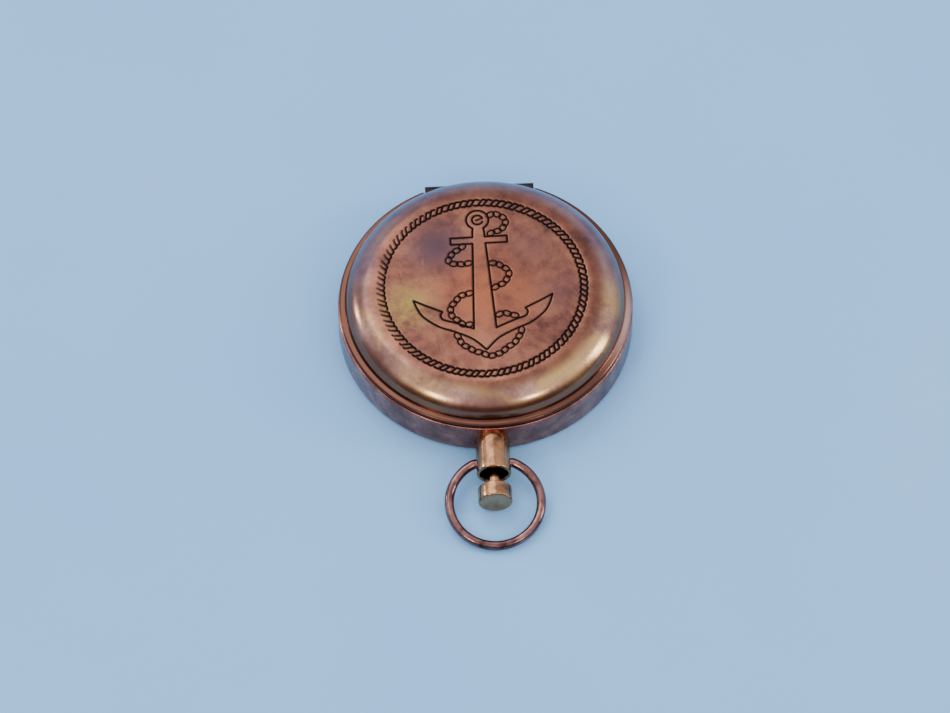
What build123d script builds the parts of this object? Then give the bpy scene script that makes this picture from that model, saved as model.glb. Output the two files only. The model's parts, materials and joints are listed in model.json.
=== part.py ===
from build123d import *
import math
import os

# Pocket sundial with a push-button stem, a carrying bow, a hinged lid and a folding gnomon.
# Millimetres, +Z up. The origin is the middle of the face that the case rests on.
# +Y points to the hinge, so the stem and the bow point along -Y.

# Case: a shallow bowl
case_radius = 25.0
base_height = 6.9
base_sheet = 0.9
base_foot_rounding = 1.0
base_rim_rounding = 0.25

# Lid: a flat top, an elliptical shoulder and a thin flange with a round edge
seam_gap = 0.1
lid_sheet = 0.8
lid_flange_inset = 0.2
lid_flange_thickness = 0.8
lid_flange_width = 1.4
lid_shoulder_width = 5.5
lid_shoulder_rise = 4.4

# Band inside the lid, which dips into the bowl
lid_rim_clearance = 0.2
lid_rim_thickness = 0.8
lid_rim_depth = 1.3
lid_rim_window_width = 4.4
lid_rim_window_height = 0.6
lid_rim_window_sill = 0.5

# Hinge: an inset barrel of four knuckles, with a spring in the middle
barrel_radius = 1.2
barrel_length = 18.6
barrel_inset = 2.2
hinge_pin_radius = 0.45
pin_running_clearance = 0.05
lid_knuckle_end = 4.6
lid_knuckle_start = 2.1
knuckle_gap = 0.15
leaf_thickness = 0.5
leaf_height = 1.8
hinge_swing_room = 0.2
lid_spring_wire_radius = 0.18
lid_spring_bore_clearance = 0.12
lid_spring_pitch = 0.5

# Stem and push button
stem_floor_gap = 0.5
stem_length = 6.7
stem_radius = 2.9
stem_wall = 0.8
shaft_radius = 1.0
shaft_running_clearance = 0.05
button_radius = 2.87
button_length = 2.7
button_gap = 2.8
button_travel = 2.0
button_edge_rounding = 0.3
button_socket_depth = 1.6
collar_bore_clearance = 0.25
collar_thickness = 0.6
collar_setback = 1.9
clip_width = 0.6
clip_thickness = 0.5
clip_gap = 0.2
shaft_nose = 0.4
button_spring_wire_radius = 0.2
button_spring_turns = 5

# Bow: a round wire ring with its ends in the stem
bow_wire_radius = 0.8
bow_ring_radius = 7.7
bow_bend_radius = 1.0
bow_bend_clearance = 0.15
bow_end_inset = 0.75
bow_hole_setback = 2.17
bow_hole_clearance = 0.05
bow_rest_clearance = 0.03

# Compass
card_thickness = 0.25
card_clearance = 0.1
card_hole_radius = 1.3
post_foot_radius = 1.15
post_foot_height = 0.4
post_radius = 0.4
post_point_height = 0.7
post_tip_radius = 0.03
needle_headroom = 0.75
needle_ring_gap = 1.6
needle_half_width = 1.5
needle_neck_share = 0.72
needle_arrow_share = 0.95
needle_waist_share = 0.3
needle_barb_share = 0.35
needle_thickness = 0.2
cap_radius = 1.25
cap_hub_radius = 0.85
cap_height = 1.15
cap_flange = 0.25
cap_bore_radius = 0.6
cap_bore_tip_radius = 0.04
cap_bore_depth_share = 0.9
cap_point_clearance = 0.05

# Glass and the ring that carries it
glass_thickness = 0.9
spacer_wall = 0.7
glass_clearance = 0.1
glass_ledge = 0.9
inner_fit = 0.05
lock_groove_floor = 0.5
lock_groove_height = 2.0
lock_groove_flex_play = 0.15
stack_headroom = 0.3

# Sundial plate
plate_thickness = 0.6
plate_lap = 3.5
plate_edge_chamfer = 0.2
retainer_width = 0.75
retainer_height = 0.5
front_slot_width = 5.2
front_slot_play = 0.3

# Lock spring: a strip round the inside of the bowl with a hooked head at the front
lock_strip_thickness = 0.35
lock_strip_height = 1.6
lock_strip_sweep = 80.0
lock_foot_sweep = 4.0
lock_groove_play = 0.2
lock_head_width = 3.6
lock_head_thickness = 0.4
lock_head_gap = 0.25
lock_lip_width = 3.0
lock_lip_height = 0.45
lock_lip_reach = 0.8
lock_lip_play = 0.1

# Gnomon: a pierced triangle that stands on the noon line
latitude = 40.0
gnomon_height = 14.0
gnomon_thickness = 0.6
gnomon_back_setback = 2.9
gnomon_back_hollow = 1.6
gnomon_border = 2.0
gnomon_window_rounding = 0.8
sleeve_radius = 0.7
sleeve_end_gap = 0.2
sleeve_plate_gap = 0.1
spindle_radius = 0.35
spindle_head_radius = 0.6
spindle_head_length = 0.35
lug_width = 1.8
lug_length = 1.0
lug_inset = 0.4
gnomon_spring_room = 4.5
gnomon_spring_wire_radius = 0.14
gnomon_spring_pitch = 0.42
gnomon_spring_bore_clearance = 0.08

# Heights: the stack hangs down from the lid's band, and the compass gets what is left
floor_z = base_sheet
card_top_z = floor_z + card_thickness
seam_z = base_height + seam_gap
flange_top_z = seam_z + lid_flange_thickness
lid_top_z = flange_top_z + lid_shoulder_rise
lid_rim_bottom_z = seam_z - lid_rim_depth
retainer_top_z = lid_rim_bottom_z - stack_headroom
plate_top_z = retainer_top_z - retainer_height
glass_top_z = plate_top_z - plate_thickness
seat_z = glass_top_z - glass_thickness
post_height = seat_z - floor_z - needle_headroom
stem_height = stem_radius + stem_floor_gap
gnomon_z = plate_top_z + sleeve_radius + sleeve_plate_gap

# Radii, worked out from the outside
bowl_radius = case_radius - base_sheet
stack_radius = bowl_radius - inner_fit
flange_radius = case_radius - lid_flange_inset
shoulder_radius = flange_radius - lid_flange_width
lid_flat_radius = shoulder_radius - lid_shoulder_width
lid_inner_radius = shoulder_radius - lid_sheet
lid_rim_radius = bowl_radius - lid_rim_clearance
lid_rim_inner_radius = lid_rim_radius - lid_rim_thickness

# Hinge line
hinge_y = case_radius - barrel_inset
hinge_z = seam_z
barrel_end = barrel_length / 2
barrel_top_z = hinge_z + barrel_radius
barrel_bottom_z = hinge_z - barrel_radius

# Stem line, with distances along -Y
stem_end_y = -(case_radius + stem_length)
button_back_y = stem_end_y - button_gap
button_front_y = button_back_y - button_length
bow_pivot_y = stem_end_y + bow_hole_setback
clip_front_y = -(bowl_radius - clip_gap)
clip_back_y = clip_front_y + clip_thickness
collar_front_y = stem_end_y + collar_setback
collar_back_y = collar_front_y + collar_thickness

# The window in the lid's band, and the hook that enters it
window_bottom_z = lid_rim_bottom_z + lid_rim_window_sill
lip_bottom_z = window_bottom_z + lock_lip_play
lip_top_z = lip_bottom_z + lock_lip_height
shaft_inner_y = clip_back_y + shaft_nose
lock_head_front_y = shaft_inner_y + lock_head_gap
lock_head_back_y = lock_head_front_y + lock_head_thickness
lock_stroke = button_travel - lock_head_gap

# What the head's stroke leaves for the ring, the glass and the dial
front_slot_radius = -(lock_head_back_y + lock_stroke) - front_slot_play
lock_strip_radius = -lock_head_front_y - lock_strip_thickness
lock_groove_radius = lock_strip_radius - lock_stroke - lock_groove_flex_play
glass_radius = front_slot_radius - spacer_wall - glass_clearance
seat_inner_radius = glass_radius + glass_clearance - glass_ledge
plate_inner_radius = glass_radius - plate_lap
needle_half_length = plate_inner_radius - needle_ring_gap
collar_radius = stem_radius - stem_wall - collar_bore_clearance
clip_radius = shaft_radius + clip_width

# Reach of the boxes that only trim other shapes
far = 4 * case_radius


def disc(radius, bottom, top):
    """Cylinder on the Z axis between two heights."""
    return Pos(0, 0, (bottom + top) / 2) * Cylinder(radius, top - bottom)


def ring(inner_radius, outer_radius, bottom, top):
    """Flat ring about the Z axis between two heights."""
    return disc(outer_radius, bottom, top) - disc(inner_radius, bottom - 1, top + 1)


def block(x_low, x_high, y_low, y_high, z_low, z_high):
    """Box between two corners."""
    size = (x_high - x_low, y_high - y_low, z_high - z_low)
    centre = ((x_low + x_high) / 2, (y_low + y_high) / 2, (z_low + z_high) / 2)
    return Pos(*centre) * Box(*size)


def rod_x(radius, x_low, x_high, y, z):
    """Cylinder along X."""
    return Pos((x_low + x_high) / 2, y, z) * Rot(0, 90, 0) * Cylinder(radius, x_high - x_low)


def rod_y(radius, y_low, y_high, x, z):
    """Cylinder along Y."""
    return Pos(x, (y_low + y_high) / 2, z) * Rot(90, 0, 0) * Cylinder(radius, y_high - y_low)


def turned(*edges):
    """Solid turned about the Z axis from a closed outline in X (radius) and Z."""
    outline = make_face([Plane.XZ * edge for edge in edges])
    return revolve(outline, Axis.Z)


def coil(mean_radius, wire_radius, length, turns):
    """Helical spring along +Z between z = 0 and z = length."""
    rise = length - 2 * wire_radius
    path = Helix(rise / turns, rise, mean_radius)
    start = Plane(origin=path @ 0, z_dir=path % 0)
    wire = sweep(start * Circle(wire_radius), path=path, is_frenet=True)
    return Pos(0, 0, wire_radius) * wire


def make_case_base():
    """Bowl with a hole for the shaft and a notch for the hinge barrel."""
    bowl = disc(case_radius, 0, base_height)
    bowl = fillet(bowl.edges().group_by(Axis.Z)[0], base_foot_rounding)
    bowl = fillet(bowl.edges().group_by(Axis.Z)[-1], base_rim_rounding)
    bowl -= disc(bowl_radius, floor_z, far)
    bowl -= rod_y(shaft_radius + shaft_running_clearance, -far, 0, 0, stem_height)
    notch_x = barrel_end + knuckle_gap
    notch_y = hinge_y - barrel_radius - hinge_swing_room
    return bowl - block(-notch_x, notch_x, notch_y, far, barrel_bottom_z, far)


def make_stem_tube():
    """Tube on the case wall, with two side holes for the ends of the bow."""
    tube = rod_y(stem_radius, stem_end_y, 0, 0, stem_height)
    tube -= rod_y(stem_radius - stem_wall, -far, far, 0, stem_height)
    tube -= rod_x(bow_wire_radius + bow_hole_clearance, -far, far, bow_pivot_y, stem_height)
    return tube - Cylinder(case_radius, far)


def shoulder_arc(offset):
    """Quarter ellipse of the lid's shoulder, a distance inside the outer surface."""
    across = lid_shoulder_width - offset
    rise = lid_shoulder_rise - offset
    centre = (lid_flat_radius, flange_top_z)
    return EllipticalCenterArc(centre, across, rise, start_angle=0, arc_size=90)


def shoulder_shell(outer_offset, inner_offset):
    """Turned shell that follows the shoulder from the flange to the flat top."""
    outer = shoulder_arc(outer_offset)
    inner = shoulder_arc(inner_offset)
    return turned(outer, Line(outer @ 1, inner @ 1), inner, Line(inner @ 0, outer @ 0))


def hinge_zone(half_width, front_y, top_z):
    """Box that clears the lid over the hinge barrel."""
    return block(-half_width, half_width, front_y, far, -far, top_z)


def make_lid():
    """Dome with a flat top and a thin flange, cut away over the hinge."""
    outer = shoulder_arc(0)
    inner = shoulder_arc(lid_sheet)
    edge_r = lid_flange_thickness / 2
    edge_top = (flange_radius - edge_r, flange_top_z)
    edge_out = (flange_radius, seam_z + edge_r)
    edge_low = (flange_radius - edge_r, seam_z)
    dome = turned(
        Line((0, lid_top_z), outer @ 1),
        outer,
        Line(outer @ 0, edge_top),
        ThreePointArc(edge_top, edge_out, edge_low),
        Line(edge_low, (lid_inner_radius, seam_z)),
        Line((lid_inner_radius, seam_z), inner @ 0),
        inner,
        Line(inner @ 1, (0, lid_top_z - lid_sheet)),
        Line((0, lid_top_z - lid_sheet), (0, lid_top_z)),
    )
    notch_y = hinge_y - barrel_radius - hinge_swing_room
    notch_x = barrel_end + knuckle_gap
    dome -= hinge_zone(notch_x, notch_y, barrel_top_z)
    dome -= hinge_zone(far, hinge_y - hinge_swing_room, flange_top_z)
    side_clear = hinge_zone(notch_x, notch_y, barrel_top_z + knuckle_gap)
    middle = hinge_zone(lid_knuckle_end + knuckle_gap / 2, -far, far)
    return dome - (side_clear - middle)


def make_lid_rim():
    """Band under the flange, open at the hinge, with the window for the hook."""
    band = ring(lid_rim_inner_radius, lid_rim_radius, lid_rim_bottom_z, seam_z)
    band -= block(-far, far, hinge_y - barrel_radius - 2 * hinge_swing_room, far, 0, far)
    half = lid_rim_window_width / 2
    window_top_z = window_bottom_z + lid_rim_window_height
    return band - block(-half, half, -far, 0, window_bottom_z, window_top_z)


def knuckle(x_low, x_high, bore_radius):
    """One tube of the hinge barrel."""
    tube = rod_x(barrel_radius, x_low, x_high, hinge_y, hinge_z)
    return tube - rod_x(bore_radius, -far, far, hinge_y, hinge_z)


def make_lid_hinge_leaf():
    """Two inner knuckles on a leaf that hugs the inside of the dome."""
    bore = hinge_pin_radius + pin_running_clearance
    leaf = shoulder_shell(lid_sheet, lid_sheet + leaf_thickness)
    leaf &= block(-lid_knuckle_end, lid_knuckle_end, 0, far, barrel_top_z, barrel_top_z + leaf_height)
    reach = shoulder_radius - hinge_swing_room
    plate = block(-lid_knuckle_end, lid_knuckle_end, 0, far, barrel_top_z - leaf_thickness, barrel_top_z)
    plate &= ring(lid_inner_radius - leaf_thickness, reach, 0, far)
    plate -= rod_x(hinge_pin_radius + 2 * pin_running_clearance, -far, far, hinge_y, hinge_z)
    leaf += plate
    leaf -= block(-lid_knuckle_start, lid_knuckle_start, hinge_y - barrel_radius, far, 0, barrel_top_z)
    leaf += knuckle(lid_knuckle_start, lid_knuckle_end, bore)
    leaf += knuckle(-lid_knuckle_end, -lid_knuckle_start, bore)
    return leaf


def make_base_hinge_leaf():
    """Two outer knuckles on a leaf that sits on the notch in the bowl's wall."""
    start = lid_knuckle_end + knuckle_gap
    front_y = hinge_y - barrel_radius
    seat = block(start, barrel_end, front_y, far, barrel_bottom_z, barrel_bottom_z + leaf_thickness)
    seat &= Cylinder(case_radius - seam_gap, far)
    leaf = seat + knuckle(start, barrel_end, hinge_pin_radius)
    back_y = front_y + leaf_thickness
    bridge = block(-barrel_end, barrel_end, front_y, back_y, retainer_top_z, barrel_bottom_z)
    bridge &= Cylinder(stack_radius, far)
    return leaf + mirror(leaf, Plane.YZ) + bridge


def make_hinge_pin():
    """Pin through all four knuckles, a press fit in the outer two."""
    return rod_x(hinge_pin_radius, -barrel_end, barrel_end, hinge_y, hinge_z)


def make_lid_spring():
    """Torsion coil on the pin, between the lid's two knuckles."""
    mean = hinge_pin_radius + lid_spring_bore_clearance + lid_spring_wire_radius
    length = 2 * (lid_knuckle_start - knuckle_gap)
    turns = round(length / lid_spring_pitch)
    wire = coil(mean, lid_spring_wire_radius, length, turns)
    return Pos(-length / 2, hinge_y, hinge_z) * Rot(0, 90, 0) * wire


def make_button_cap():
    """Push button with a blind socket for the shaft."""
    cap = rod_y(button_radius, button_front_y, button_back_y, 0, stem_height)
    cap = fillet(cap.edges().group_by(Axis.Y)[0], button_edge_rounding)
    cap = fillet(cap.edges().group_by(Axis.Y)[-1], button_edge_rounding / 2)
    socket_front_y = button_back_y - button_socket_depth
    return cap - rod_y(shaft_radius, socket_front_y, 0, 0, stem_height)


def make_plunger_shaft():
    """Shaft from the button's socket to just in front of the lock spring's head."""
    front_y = button_back_y - button_socket_depth
    return rod_y(shaft_radius, front_y, shaft_inner_y, 0, stem_height)


def make_spring_collar():
    """Collar on the shaft that the return spring pushes."""
    collar = rod_y(collar_radius, collar_front_y, collar_back_y, 0, stem_height)
    return collar - rod_y(shaft_radius, -far, far, 0, stem_height)


def make_plunger_clip():
    """Clip on the inner end of the shaft, behind the bowl's wall."""
    clip = rod_y(clip_radius, clip_front_y, clip_back_y, 0, stem_height)
    return clip - rod_y(shaft_radius, -far, far, 0, stem_height)


def make_button_spring():
    """Compression coil in the stem, between the bowl's wall and the collar."""
    bore = stem_radius - stem_wall - 2 * shaft_running_clearance
    mean = (bore + shaft_radius) / 2
    length = -case_radius - collar_back_y
    wire = coil(mean, button_spring_wire_radius, length, button_spring_turns)
    return Pos(0, collar_back_y, stem_height) * Rot(-90, 0, 0) * wire


def make_lock_spring():
    """Bent strip with a foot on the bowl's wall and a hooked head at the front."""
    low_z = floor_z + lock_groove_floor + lock_groove_play
    high_z = low_z + lock_strip_height
    inner = lock_strip_radius
    outer = inner + lock_strip_thickness
    strip_face = Plane.XZ * Pos((inner + outer) / 2, (low_z + high_z) / 2) * Rectangle(
        outer - inner, high_z - low_z
    )
    strip = revolve(Rot(0, 0, -90) * strip_face, Axis.Z, lock_strip_sweep)
    foot_face = Plane.XZ * Pos((inner + bowl_radius) / 2, (low_z + high_z) / 2) * Rectangle(
        bowl_radius - inner, high_z - low_z
    )
    foot_start = lock_strip_sweep - 90
    foot = revolve(Rot(0, 0, foot_start) * foot_face, Axis.Z, lock_foot_sweep)
    half = lock_head_width / 2
    head = block(-half, half, lock_head_front_y, lock_head_back_y, low_z, lip_top_z)
    lip_half = lock_lip_width / 2
    lip_front_y = lock_head_front_y - lock_lip_reach
    lip = block(-lip_half, lip_half, lip_front_y, lock_head_back_y, lip_bottom_z, lip_top_z)
    lip = chamfer(lip.edges().group_by(Axis.Y)[0].sort_by(Axis.Z)[-1], lock_lip_height / 2)
    return strip + foot + head + lip


def make_bow():
    """Round wire ring that bends into the stem's side holes, resting on the surface."""
    bend_x = stem_radius + bow_bend_clearance
    inside = bow_ring_radius - bow_bend_radius
    reach = bow_bend_radius + math.sqrt(inside**2 - bend_x**2)
    scale = bow_ring_radius / inside
    join_x = bend_x * scale
    join_y = reach + (bow_bend_radius - reach) * scale
    half_turn = math.atan2(bend_x, reach - bow_bend_radius) / 2
    middle_x = bend_x + bow_bend_radius * math.sin(half_turn)
    middle_y = bow_bend_radius * (1 - math.cos(half_turn))
    end_x = stem_radius - bow_end_inset
    path = Wire(
        [
            Line((end_x, 0), (bend_x, 0)),
            ThreePointArc((bend_x, 0), (middle_x, middle_y), (join_x, join_y)),
            ThreePointArc((join_x, join_y), (0, reach + bow_ring_radius), (-join_x, join_y)),
            ThreePointArc((-join_x, join_y), (-middle_x, middle_y), (-bend_x, 0)),
            Line((-bend_x, 0), (-end_x, 0)),
        ]
    )
    wire = sweep(Plane(origin=(end_x, 0, 0), z_dir=(1, 0, 0)) * Circle(bow_wire_radius), path=path)
    drop = stem_height - bow_wire_radius - bow_rest_clearance
    slope = math.degrees(math.asin(drop / (reach + bow_ring_radius)))
    flat = Rot(0, 0, 180) * wire
    return Pos(0, bow_pivot_y, stem_height) * Rot(slope, 0, 0) * flat


def make_compass_card():
    """Printed card on the floor of the bowl, round the foot of the post."""
    return ring(card_hole_radius, seat_inner_radius - card_clearance, floor_z, card_top_z)


def make_needle_post():
    """Turned pivot with a foot and a sharp point."""
    foot = disc(post_foot_radius, floor_z, floor_z + post_foot_height)
    shank_top_z = floor_z + post_height - post_point_height
    shank = disc(post_radius, floor_z, shank_top_z)
    point_z = shank_top_z + post_point_height / 2
    return foot + shank + Pos(0, 0, point_z) * Cone(post_radius, post_tip_radius, post_point_height)


def needle_plane_z():
    """Height of the needle's underside, on the flange of its cap."""
    point_z = floor_z + post_height
    return point_z + cap_point_clearance - cap_bore_depth() + cap_flange


def cap_bore_depth():
    """Depth of the conical bore, a little blunter than the post's point."""
    return cap_bore_depth_share * cap_bore_radius * post_point_height / post_radius


def make_needle():
    """Flat lozenge with an arrowed north end."""
    tip = needle_half_length
    neck = needle_half_length * needle_neck_share
    half = needle_half_width
    arrow = half * needle_arrow_share
    waist = half * needle_waist_share
    barb = neck + half * needle_barb_share
    outline = Polyline(
        (0, tip),
        (arrow, neck),
        (waist, barb),
        (half, 0),
        (0, -tip),
        (-half, 0),
        (-waist, barb),
        (-arrow, neck),
        close=True,
    )
    blade = extrude(make_face(outline), needle_thickness)
    blade -= Cylinder(cap_hub_radius, far)
    return Pos(0, 0, needle_plane_z()) * blade


def make_needle_cap():
    """Hub that rides on the post's point, with a flange under the needle."""
    bottom_z = needle_plane_z() - cap_flange
    hub = disc(cap_hub_radius, bottom_z, bottom_z + cap_height)
    hub = fillet(hub.edges().group_by(Axis.Z)[-1], cap_hub_radius / 3)
    flange = disc(cap_radius, bottom_z, bottom_z + cap_flange)
    depth = cap_bore_depth()
    bore = Pos(0, 0, bottom_z + depth / 2) * Cone(cap_bore_radius, cap_bore_tip_radius, depth)
    return hub + flange - bore


def make_spacer_ring():
    """Turned ring with a seat for the glass and a groove for the lock spring."""
    body = ring(seat_inner_radius, stack_radius, floor_z, glass_top_z)
    body -= disc(glass_radius + glass_clearance, seat_z, far)
    groove_low = floor_z + lock_groove_floor
    body -= ring(lock_groove_radius, far, groove_low, groove_low + lock_groove_height)
    return body - front_slot(floor_z)


def front_slot(bottom_z):
    """Room for the shaft's end and for the lock spring's head to move."""
    half = front_slot_width / 2
    return block(-half, half, -far, -front_slot_radius, bottom_z, far)


def make_crystal():
    """Flat glass over the compass."""
    glass = disc(glass_radius, seat_z, glass_top_z)
    return chamfer(glass.edges().group_by(Axis.Z)[-1], glass_clearance)


def make_hour_plate():
    """Sundial ring over the edge of the glass."""
    plate = ring(plate_inner_radius, stack_radius, glass_top_z, plate_top_z)
    inner_edge = plate.edges().group_by(Axis.Z)[-1].sort_by(SortBy.LENGTH)[0]
    return chamfer(inner_edge, plate_edge_chamfer) - front_slot(0)


def make_retaining_ring():
    """Snap ring on the sundial plate, open at the front for the hook."""
    band = ring(stack_radius - retainer_width, stack_radius, plate_top_z, retainer_top_z)
    return band - front_slot(0)


def gnomon_style_start():
    """The style meets the dial at the south end of the sleeve."""
    return -(plate_inner_radius + lug_inset - sleeve_end_gap)


def gnomon_sleeve_end():
    """North end of the sleeve, short of the spring."""
    return plate_inner_radius + lug_inset - gnomon_spring_room


def make_gnomon():
    """Pierced triangle with a rolled sleeve, folded flat towards +X."""
    south = gnomon_style_start()
    peak = south + gnomon_height / math.tan(math.radians(latitude))
    style = Line((0, south), (gnomon_height, peak))
    back_foot = gnomon_sleeve_end() - gnomon_back_setback
    middle = (gnomon_height / 2 - gnomon_back_hollow, (peak + back_foot) / 2)
    back = ThreePointArc((gnomon_height, peak), middle, (0, back_foot))
    foot = Line((0, back_foot), (0, south))
    outline = make_face([style, back, foot])
    window = offset(outline, -gnomon_border)
    window = fillet(window.vertices(), gnomon_window_rounding)
    sheet = extrude(outline - window, gnomon_thickness / 2, both=True)
    north = gnomon_sleeve_end()
    leaf = Pos(0, 0, gnomon_z) * sheet
    leaf += rod_y(sleeve_radius, south, north, 0, gnomon_z)
    return leaf - rod_y(spindle_radius + pin_running_clearance, -far, far, 0, gnomon_z)


def make_gnomon_lug(side):
    """Rounded bracket on the sundial plate that holds one end of the spindle."""
    near_y = plate_inner_radius + lug_inset
    half = lug_width / 2
    lug = block(-half, half, near_y, near_y + lug_length, plate_top_z, gnomon_z)
    lug += rod_y(half, near_y, near_y + lug_length, 0, gnomon_z)
    lug -= rod_y(spindle_radius, -far, far, 0, gnomon_z)
    lug -= block(-far, far, -far, far, 0, plate_top_z)
    return Rot(0, 0, 0 if side > 0 else 180) * lug


def make_gnomon_spindle():
    """Rod through the sleeve with a head outside each lug."""
    end_y = plate_inner_radius + lug_inset + lug_length
    head_y = end_y + spindle_head_length
    spindle = rod_y(spindle_radius, -end_y, end_y, 0, gnomon_z)
    spindle += rod_y(spindle_head_radius, end_y, head_y, 0, gnomon_z)
    spindle += rod_y(spindle_head_radius, -head_y, -end_y, 0, gnomon_z)
    return spindle


def make_gnomon_spring():
    """Torsion coil on the spindle, between the sleeve and the north lug."""
    mean = spindle_radius + gnomon_spring_bore_clearance + gnomon_spring_wire_radius
    length = gnomon_spring_room - 2 * sleeve_end_gap
    turns = round(length / gnomon_spring_pitch)
    wire = coil(mean, gnomon_spring_wire_radius, length, turns)
    start_y = gnomon_sleeve_end() + sleeve_end_gap
    return Pos(0, start_y, gnomon_z) * Rot(-90, 0, 0) * wire


parts = {
    "case_base": make_case_base(),
    "stem_tube": make_stem_tube(),
    "lid": make_lid(),
    "lid_rim": make_lid_rim(),
    "lid_hinge_leaf": make_lid_hinge_leaf(),
    "base_hinge_leaf": make_base_hinge_leaf(),
    "hinge_pin": make_hinge_pin(),
    "lid_spring": make_lid_spring(),
    "button_cap": make_button_cap(),
    "plunger_shaft": make_plunger_shaft(),
    "spring_collar": make_spring_collar(),
    "plunger_clip": make_plunger_clip(),
    "button_spring": make_button_spring(),
    "lock_spring": make_lock_spring(),
    "bow": make_bow(),
    "compass_card": make_compass_card(),
    "needle_post": make_needle_post(),
    "needle": make_needle(),
    "needle_cap": make_needle_cap(),
    "spacer_ring": make_spacer_ring(),
    "crystal": make_crystal(),
    "hour_plate": make_hour_plate(),
    "retaining_ring": make_retaining_ring(),
    "gnomon": make_gnomon(),
    "gnomon_lug_north": make_gnomon_lug(1),
    "gnomon_lug_south": make_gnomon_lug(-1),
    "gnomon_spindle": make_gnomon_spindle(),
    "gnomon_spring": make_gnomon_spring(),
}

os.makedirs("parts", exist_ok=True)
for name, shape in parts.items():
    export_step(shape, f"parts/{name}.step")
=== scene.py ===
import json
import math

import bmesh
import bpy
import numpy as np
from mathutils import Matrix, Vector, noise


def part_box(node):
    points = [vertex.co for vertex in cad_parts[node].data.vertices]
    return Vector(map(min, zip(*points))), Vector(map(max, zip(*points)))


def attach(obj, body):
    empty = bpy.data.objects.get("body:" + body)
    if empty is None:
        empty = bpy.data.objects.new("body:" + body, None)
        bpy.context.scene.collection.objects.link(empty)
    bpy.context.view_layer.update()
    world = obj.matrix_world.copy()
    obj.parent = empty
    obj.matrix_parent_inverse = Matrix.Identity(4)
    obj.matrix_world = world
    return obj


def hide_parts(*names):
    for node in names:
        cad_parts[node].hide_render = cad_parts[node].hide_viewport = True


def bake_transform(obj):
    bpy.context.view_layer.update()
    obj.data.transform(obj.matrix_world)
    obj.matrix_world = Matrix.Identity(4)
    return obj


# Pocket sundial with its lid shut, seen from the front and above.
# Meshes are worked out in millimetres in the frame's own axes and written in metres.

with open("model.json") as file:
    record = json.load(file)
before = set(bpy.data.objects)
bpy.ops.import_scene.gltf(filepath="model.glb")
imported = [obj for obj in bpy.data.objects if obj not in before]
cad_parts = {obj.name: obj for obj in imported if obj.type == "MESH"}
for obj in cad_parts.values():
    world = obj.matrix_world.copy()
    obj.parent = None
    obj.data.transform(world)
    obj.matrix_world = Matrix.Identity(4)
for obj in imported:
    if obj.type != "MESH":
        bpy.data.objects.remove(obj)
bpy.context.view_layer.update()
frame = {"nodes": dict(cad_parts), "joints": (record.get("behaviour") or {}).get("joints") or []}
NODES = frame["nodes"]
MM = 0.001


def mm_box(node):
    """A CAD node's lowest and highest corners, in millimetres."""
    low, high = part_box(node)
    return low / MM, high / MM


# ---------------- sizes from the frame
lid_high = mm_box("lid")[1]
base_high = mm_box("case_base")[1]
stem_low, stem_high = mm_box("stem_tube")
cap_low, cap_high = mm_box("button_cap")
shaft_low, shaft_high = mm_box("plunger_shaft")
pin_low, pin_high = mm_box("hinge_pin")
leaf_high = mm_box("base_hinge_leaf")[1]
bow_high = mm_box("bow")[1]

CASE_R = base_high.x
FLANGE_R = lid_high.x
LID_TOP = lid_high.z
SEAM_Z = (pin_low.z + pin_high.z) / 2
RIM_Z = base_high.z
HINGE_Y = (pin_low.y + pin_high.y) / 2
HINGE_Z = SEAM_Z
BARREL_R = leaf_high.z - HINGE_Z
BARREL_END = pin_high.x
STEM_R = stem_high.x
STEM_Z = (stem_low.z + stem_high.z) / 2
STEM_FRONT = stem_low.y
CAP_R = cap_high.x
SHAFT_R = shaft_high.x
BOW_WIRE_R = 0.8
BOW_REST_GAP = 0.03
BOW_RING_R = bow_high.x - BOW_WIRE_R
BOW_PIVOT = [j for j in frame["joints"] if j["name"] == "bow_swing"][0]["pos_m"][1] / MM

# Lid profile: a flat top, an elliptical shoulder and a round-edged flange, narrower than the CAD's
LID_SHEET = 0.8
FLANGE_T = 0.8
FLANGE_W = 1.1
SHOULDER_W = 5.8
SHOULDER_R = FLANGE_R - FLANGE_W
FLAT_R = SHOULDER_R - SHOULDER_W
FLANGE_Z = SEAM_Z + FLANGE_T
SHOULDER_H = LID_TOP - FLANGE_Z
BASE_SHEET = 0.9
STEM_WALL = 0.8
HOLE_ROOM = 0.05
HINGE_ROOM = 0.15
HINGE_CUT_Y = HINGE_Y - BARREL_R - 0.2
FAR = 40

# Engraving on the lid
ROPE_CENTRE = Vector((-0.5, 0.0))
ROPE_IN = 16.55
ROPE_OUT = 17.8
ROPE_STRANDS = 100
ANCHOR_TURN = math.radians(1.0)
LINE_W = 0.30
LINK_W = 0.22
GROOVE_DEPTH = 0.11


# ---------------- mesh helpers
def link(obj):
    bpy.context.scene.collection.objects.link(obj)
    return obj


def mesh_object(name, points_mm, faces, smooth=True):
    """Object from points in millimetres."""
    mesh = bpy.data.meshes.new(name)
    mesh.from_pydata([tuple(c * MM for c in p) for p in points_mm], [], faces)
    mesh.validate()
    if smooth:
        mesh.shade_smooth()
    return link(bpy.data.objects.new(name, mesh))


def paint(obj, material):
    obj.data.materials.clear()
    obj.data.materials.append(material)


def finish_piece(obj, body, node_names, material):
    """Rides the piece on its body, stands it for its CAD nodes and paints it."""
    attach(obj, body)
    if node_names:
        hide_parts(*node_names)
    paint(obj, material)
    return obj


def sharp_edges(obj, degrees=35):
    """Smooth shading that breaks at edges sharper than this."""
    obj.data.shade_smooth()
    obj.data.set_sharp_from_angle(angle=math.radians(degrees))


def arc(cx, cy, rx, ry, start, end, count):
    """Points on an elliptical arc, with angles in degrees, both ends included."""
    angles = np.radians(np.linspace(start, end, count))
    return [(cx + rx * math.cos(a), cy + ry * math.sin(a)) for a in angles]


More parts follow.
